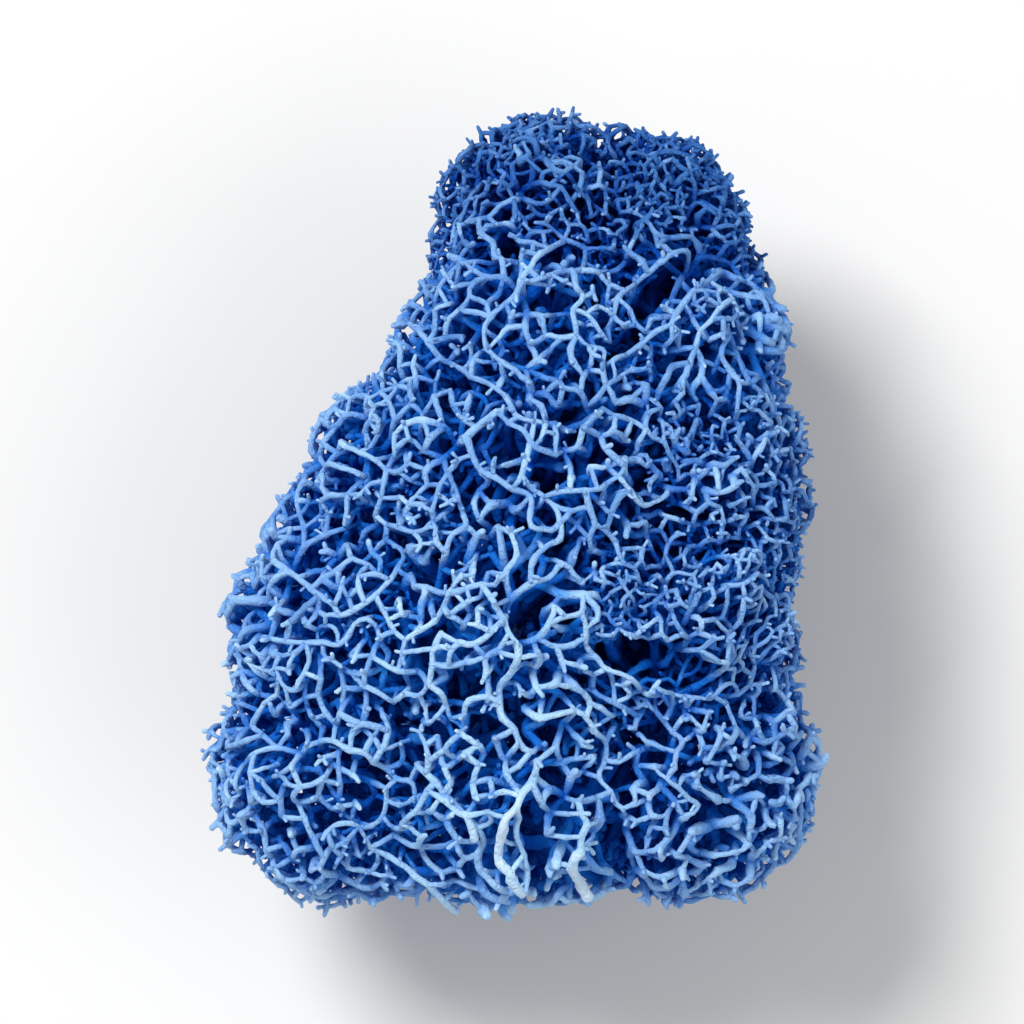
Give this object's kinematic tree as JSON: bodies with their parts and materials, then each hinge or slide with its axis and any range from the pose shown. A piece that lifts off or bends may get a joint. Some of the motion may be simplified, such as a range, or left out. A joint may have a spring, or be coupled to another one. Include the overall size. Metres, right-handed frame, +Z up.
{
  "type": "reindeer moss clump",
  "caption": "Cushion of dyed blue reindeer lichen: forked stalks with rounded, lacy heads pressed together, resting on its cut stalk ends.",
  "frame": {"origin": "under the middle of the clump's bounding box, on the surface that it rests on", "axes": "+Z up, away from the cut stalk ends; +Y along the clump's longer side, towards its narrower, darker end; +X across it"},
  "size_m": [0.0554, 0.0724, 0.047],
  "materials": {
    "lichen_pale_blue": "matte",
    "lichen_mid_blue": "matte",
    "lichen_deep_blue": "matte"
  },
  "bodies": {
    "root": {"podetium_01": "lichen_deep_blue", "podetium_02": "lichen_mid_blue", "podetium_03": "lichen_mid_blue", "podetium_04": "lichen_mid_blue", "podetium_05": "lichen_mid_blue", "podetium_06": "lichen_mid_blue", "podetium_07": "lichen_pale_blue", "podetium_08": "lichen_pale_blue", "podetium_09": "lichen_mid_blue", "podetium_10": "lichen_pale_blue", "podetium_11": "lichen_mid_blue", "podetium_12": "lichen_pale_blue", "podetium_13": "lichen_deep_blue"}
  },
  "joints": []
}
